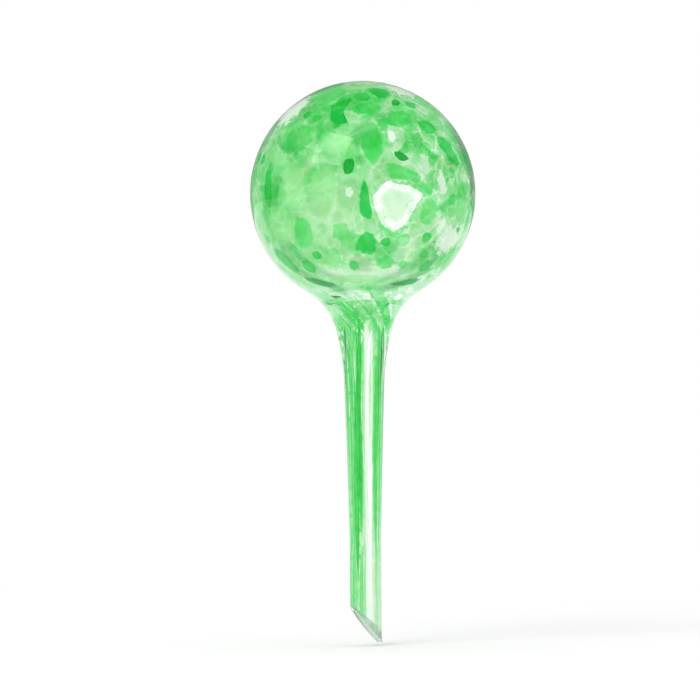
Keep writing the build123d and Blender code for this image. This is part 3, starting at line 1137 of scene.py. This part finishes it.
    def _film(
        self, films: FilmMesh, chip: Chip, outline: Sequence[Vector], tone: float, chance: random.Random
    ) -> None:
        """Lay one film on the bulb, with its corners melted round.

        Args:
            films: The mesh that takes it.
            chip: The chip.
            outline: Its outline in its own plane.
            tone: Its own tone, from 0 for the thin colour to 1 for the full one.
            chance: Where the random draws come from.
        """
        lift = self.lift * (self.grain_lift if chip.colour is Colour.GRAIN else 1.0)
        line = rounded(outline, 3)
        middle = sum(outline, Vector((0, 0))) / len(outline)
        wobble = [chance.uniform(0, 2 * math.pi) for _ in range(3)]
        soft = []
        for step, point in enumerate(line):
            turn = 2 * math.pi * step / len(line)
            swell = sum(self.swell * math.sin((3 + 2 * n) * turn + wobble[n]) for n in range(3))
            soft.append(point + (point - middle) * swell)
        rings = []
        for number in range(self.levels):
            share = self.overlap * (1 - (number / self.levels) ** 1.3)
            rings.append([self._on_bulb(chip.place, middle.lerp(point, share), lift) for point in soft])
        films.add_round(rings, self._on_bulb(chip.place, middle, lift), tone)

    def build(self, finishes: dict[Colour, bpy.types.Material]) -> list[bpy.types.Object]:
        """Make one piece for each colour's chips. The outlined chips stayed whole and keep full colour.

        Args:
            finishes: The material of each colour.

        Returns:
            The pieces.
        """
        chips, chance = self.sites(), random.Random(self.seed + 1)
        REPORT.info("chips in the bulb: %d", len(chips))
        meshes = {colour: FilmMesh() for colour in Colour}
        for number, chip in enumerate(chips):
            tone = chance.uniform(*(self.whole_tones if number < len(self.outlined) else self.worn_tones))
            self._film(meshes[chip.colour], chip, self._cut_back(chip, chips), tone, chance)
        pieces = []
        for colour, films in meshes.items():
            piece = films.make(f"{colour.value}_chip_films")
            piece.data.materials.append(finishes[colour])
            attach(piece, "root")
            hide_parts(f"{colour.value}_chips")
            pieces.append(piece)
        return pieces


@dataclass
class StreakLayer:
    """The streaks that the drawing of the stem has pulled out of chips, in millimetres and shares."""

    body: BlownBody
    width: float = 2.2
    lift: float = 0.03
    steps: int = 60
    sides: tuple = (-1.0, -0.8, -0.5, 0.0, 0.5, 0.8, 1.0)
    placed: tuple = (
        ("deep_green", -26, 0.16, 0.97, 0.86, 0.00, 1.30),
        ("mid_green", 38, 0.27, 0.96, 1.10, 0.00, 0.40),
        ("pale_green", -72, 0.20, 0.95, 0.80, 0.00, -0.90),
        ("opal_white", 5, 0.42, 0.90, 0.42, 0.00, 0.55),
        ("deep_green", 78, 0.50, 0.97, 0.80, 0.10, 0.80),
        ("mid_green", 118, 0.18, 0.92, 1.00, 0.00, 0.50),
        ("pale_green", 158, 0.24, 0.96, 0.90, 0.10, -0.60),
        ("deep_green", -160, 0.30, 0.95, 0.80, 0.00, 0.70),
        ("mid_green", -118, 0.22, 0.94, 1.00, 0.00, 0.50),
    )

    def _streak(self, films: FilmMesh, row: Sequence[float], tone: float) -> None:
        """Lay one streak along the stem and neck.

        Args:
            films: The mesh that takes it.
            row: Its longitude, its two ends and its width and two swings as shares.
            tone: Its own tone from 0 to 1.
        """
        longitude, low_share, high_share, *shares = row
        width, middle_swing, high_swing = (share * self.width for share in shares)
        low, high = low_share * self.body.lip_height, high_share * self.body.lip_height
        outward, east = heading(longitude, 0), heading(longitude + 90, 0)
        rows = []
        for step in range(self.steps + 1):
            share = step / self.steps
            height = low + (high - low) * share
            bow = 4 * share * (1 - share)
            swing = high_swing * share * (2 * share - 1) + middle_swing * bow
            radius = self.body.radius_at(height) + self.lift
            line = []
            for side in self.sides:
                aside = swing + side * bow * width / 2
                depth = math.sqrt(max(radius**2 - aside**2, 0.0))
                point = outward * depth + east * aside + Vector((0, 0, height))
                line.append((point, (1 - abs(side)) * min(1.0, bow * 2.5)))
            rows.append(line)
        films.add_rows(rows, tone)

    def build(self, finishes: dict[Colour, bpy.types.Material]) -> list[bpy.types.Object]:
        """Make one piece for each colour's streaks.

        Args:
            finishes: The material of each colour.

        Returns:
            The pieces.
        """
        pieces = []
        for colour in Colour:
            rows = [row[1:] for row in self.placed if row[0] == colour.value]
            if not rows:
                continue
            films = FilmMesh()
            for number, row in enumerate(rows):
                self._streak(films, row, 0.5 + 0.2 * number)
            piece = films.make(f"{colour.value}_streak_films")
            piece.data.materials.append(finishes[colour])
            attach(piece, "root")
            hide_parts(f"{colour.value}_streaks")
            pieces.append(piece)
        return pieces


@dataclass
class Studio:
    """The pale floor, the white room, the soft lamp, the window and the grey cards.

    Sizes are in metres and degrees, but the window's distance and heights are in millimetres.
    """

    floor_side: float = 6.0
    floor_drop: float = 0.0004
    floor_white: Rgb = (252, 252, 252)
    floor_fade: tuple = (0.05, 0.35)
    world_fill: float = 0.92
    world_mirrored: float = 0.3
    lamp_side: float = 0.8
    lamp_power: float = 5.0
    lamp_place: tuple = (-0.7, -0.8, 1.1)
    lamp_aim: tuple = (0, 0, 0.09)
    window_distance: float = 160.0
    window_edge: float = 15.0
    window_middle: float = 2.0
    window_steps: int = 8
    window_corners: tuple = (
        (8.9, 107), (16.5, 131), (21.5, 147), (27.4, 146), (34.1, 136), (43.3, 133), (57.1, 116),
        (55.4, 100), (49.9, 81), (43.7, 29), (33.4, 2), (18.8, 29), (11.2, 74),
    )
    card_grey: Rgb = (58, 64, 62)
    card_behind: float = 1.0
    card_centre: float = 0.152
    card_steps: tuple = (32, 8)
    card_arcs: tuple = (("grey_card_left", 88, 176, 0.11, 0.46), ("grey_card_right", -14, 36, 0.11, 0.62))

    def floor(self) -> bpy.types.Object:
        """Make the floor, level with the tip, which fades into light away from the object.

        Returns:
            The floor.
        """
        side = self.floor_side / 2
        mesh = bpy.data.meshes.new("studio_floor")
        corners = [(-side, -side, 0), (side, -side, 0), (side, side, 0), (-side, side, 0)]
        mesh.from_pydata(corners, [], [(0, 1, 2, 3)])
        floor = bpy.data.objects.new("studio_floor", mesh)
        floor.location = (0, 0, -self.floor_drop)
        bpy.context.scene.collection.objects.link(floor)
        material, net = new_material("pale_floor")
        matte = net.add("BsdfDiffuse", {"Color": linear(self.floor_white)})
        away = net.ease(net.vector("LENGTH", net.place()), *self.floor_fade)
        blend = net.add("MixShader", {0: away, 1: matte.outputs[0], 2: net.glow(WHITE, 1.0)})
        net.add("OutputMaterial", {"Surface": blend.outputs[0]})
        mesh.materials.append(material)
        return floor

    def world(self) -> None:
        """White behind the glass and in it, dim in the first mirrorings, plain on everything else."""
        world = bpy.data.worlds.new("soft_white_room")
        bpy.context.scene.world = world
        world.use_nodes = True
        world.node_tree.nodes.clear()
        net = Wiring(world.node_tree)
        path = net.add("LightPath").outputs
        seen = net.sum("ADD", path["Is Camera Ray"], path["Is Glossy Ray"], clamp=True)
        seen = net.sum("ADD", seen, path["Is Transmission Ray"], clamp=True)
        mirrored = net.times(path["Is Glossy Ray"], net.sum("LESS_THAN", path["Ray Depth"], 2.5))
        strength = net.line(seen, 1.0 - self.world_fill, self.world_fill)
        strength = net.sum("SUBTRACT", strength, net.times(mirrored, 1.0 - self.world_mirrored))
        back = net.add("Background", {"Color": WHITE, "Strength": strength})
        net.add("OutputWorld", {"Surface": back.outputs[0]})

    def lamp(self) -> None:
        """A large soft lamp from the upper left."""
        light = bpy.data.lights.new("soft_lamp", "AREA")
        light.shape, light.energy = "RECTANGLE", self.lamp_power
        light.size = light.size_y = self.lamp_side
        lamp = bpy.data.objects.new("soft_lamp", light)
        lamp.location = self.lamp_place
        lamp.rotation_euler = (Vector(self.lamp_aim) - lamp.location).to_track_quat("-Z", "Y").to_euler()
        lamp.visible_transmission = False
        bpy.context.scene.collection.objects.link(lamp)

    def _show_only(self, panel: bpy.types.Object, kept: str) -> None:
        """Hide a panel from every kind of ray but one."""
        for kind in {"camera", "diffuse", "glossy", "transmission", "shadow", "volume_scatter"} - {kept}:
            setattr(panel, "visible_" + kind, False)

    def _stand(self, point: Vector) -> Vector:
        """Stand a point, given by azimuth and height, on the cylinder round the object."""
        turn, away = math.radians(point.x), self.window_distance
        return Vector((math.sin(turn) * away, -math.cos(turn) * away, point.y))

    def window(self) -> bpy.types.Object:
        """Make a bright many-cornered window to the right of the camera that only gloss shows.

        Returns:
            The window's panel.
        """
        line = [Vector(corner) for corner in self.window_corners][::-1]
        middle, steps = sum(line, Vector((0, 0))) / len(line), self.window_steps
        sides = zip(line, line[1:] + line[:1])
        edge = [start.lerp(end, step / steps) for start, end in sides for step in range(steps)]
        films = FilmMesh()
        shares = [1 - level / steps for level in range(steps)]
        rings = [[self._stand(middle.lerp(point, share)) for point in edge] for share in shares]
        films.add_round(rings, self._stand(middle), 0.5)
        panel = films.make("window_panel")
        material, net = new_material("window_light")
        inward = net.ease(net.carried("rim"), 0.1, 0.35)
        strength = net.line(inward, self.window_middle - self.window_edge, self.window_edge)
        first = net.sum("LESS_THAN", net.add("LightPath").outputs["Ray Depth"], 1.5)
        glow = net.glow(WHITE, net.times(strength, first))
        net.add("OutputMaterial", {"Surface": glow})
        panel.data.materials.append(material)
        self._show_only(panel, "glossy")
        return panel

    def _card(self, name: str, first: float, last: float, near: float, far: float) -> bpy.types.Object:
        """Make one grey card, an arc behind the object.

        Args:
            name: The card's name.
            first: Where it starts, in degrees.
            last: Where it ends.
            near: Its inner radius.
            far: Its outer radius.

        Returns:
            The card.
        """
        across, outwards = self.card_steps
        rows = []
        for step in range(across + 1):
            along = step / across
            turn = math.radians(first + (last - first) * along)
            row = []
            for level in range(outwards + 1):
                reach = near + (far - near) * level / outwards
                height = self.card_centre + reach * math.sin(turn)
                point = Vector((reach * math.cos(turn), self.card_behind, height)) / MM
                row.append((point, smooth(min(along, 1 - along) * 4) * smooth(level / 3)))
            rows.append(row)
        films = FilmMesh()
        films.add_rows(rows, 0.5)
        return films.make(name)

    def cards(self) -> list[bpy.types.Object]:
        """Make the grey cards, which only light through the glass can meet: they darken its limb.

        Returns:
            The cards.
        """
        cards = []
        for arc in self.card_arcs:
            card = self._card(*arc)
            material, net = new_material(card.name)
            turned = net.sum("COMPARE", net.add("LightPath").outputs["Glossy Depth"], 1.0, 0.5)
            grey = net.mix(net.times(net.carried("rim"), turned), WHITE, linear(self.card_grey))
            net.add("OutputMaterial", {"Surface": net.glow(grey, 1.0)})
            card.data.materials.append(material)
            self._show_only(card, "transmission")
            cards.append(card)
        return cards


@dataclass
class Viewpoint:
    """The camera, placed so that the object's pixels meet the photograph's."""

    pixels_a_mm: float = 3.753
    axis_pixel: float = 366.25
    foot_pixel: float = 644.0
    tilt: float = 0.45
    distance: float = 1.25
    sensor: float = 36.0
    far_limit: float = 20.0

    def build(self) -> bpy.types.Object:
        """Make the camera and use it.

        Returns:
            The camera.
        """
        lean = math.radians(self.tilt)
        aside = (PHOTO_SIDE / 2 - self.axis_pixel) / self.pixels_a_mm
        above = (self.foot_pixel - PHOTO_SIDE / 2) / self.pixels_a_mm
        x = aside * math.cos(lean) + above * math.sin(lean)
        z = above * math.cos(lean) - aside * math.sin(lean)
        data = bpy.data.cameras.new("photo_camera")
        data.sensor_width = self.sensor
        data.lens = self.sensor * self.distance / (PHOTO_SIDE / self.pixels_a_mm * MM)
        data.clip_end = self.far_limit
        camera = bpy.data.objects.new("photo_camera", data)
        camera.location = (x * MM, -self.distance, z * MM)
        camera.rotation_euler = (math.pi / 2, lean, 0)
        bpy.context.scene.collection.objects.link(camera)
        bpy.context.scene.camera = camera
        return camera


FINISHES = {
    # the deep chips carry the painted shade round the bulb's foot
    Colour.DEEP: ChipFinish(
        "deep_green_film", (0, 196, 58), (60, 222, 100), 1.0, 0.78, edge=0.26, foot_shade=0.85
    ),
    Colour.MID: ChipFinish("mid_green_film", (62, 226, 98), (132, 238, 146), 0.9, 0.78, edge=0.28),
    Colour.PALE: ChipFinish("pale_green_film", (170, 245, 165), (206, 250, 202), 0.85, 0.7, edge=0.2),
    # partly painted reflection: the mint middle and white rim follow the window's reflection that the large
    # opal chip paints in
    Colour.OPAL: ChipFinish(
        "opal_white_film", (226, 249, 224), (252, 255, 250), 0.84, 0.2, ragged=2.2, mottling=560.0
    ),
    Colour.GRAIN: ChipFinish("dark_grain_film", (14, 158, 46), (48, 208, 76), 1.0, 0.45, edge=0.2),
}


def main() -> None:
    """Build the object and its studio."""
    logging.basicConfig(level=logging.INFO, format="%(message)s")
    bpy.context.scene.view_settings.view_transform = "Standard"
    groups = GlassGroups()
    materials = {colour: finish.material(groups) for colour, finish in FINISHES.items()}
    body = BlownBody()
    made = [body.dress(groups)]
    made += ChipLayer(body).build(materials)
    made += StreakLayer(body).build(materials)
    studio = Studio()
    studio.floor()
    studio.world()
    studio.lamp()
    studio.window()
    studio.cards()
    Viewpoint().build()
    for piece in made:
        REPORT.info("%s: %d faces", piece.name, len(piece.data.polygons))


if __name__ == "__main__":
    main()
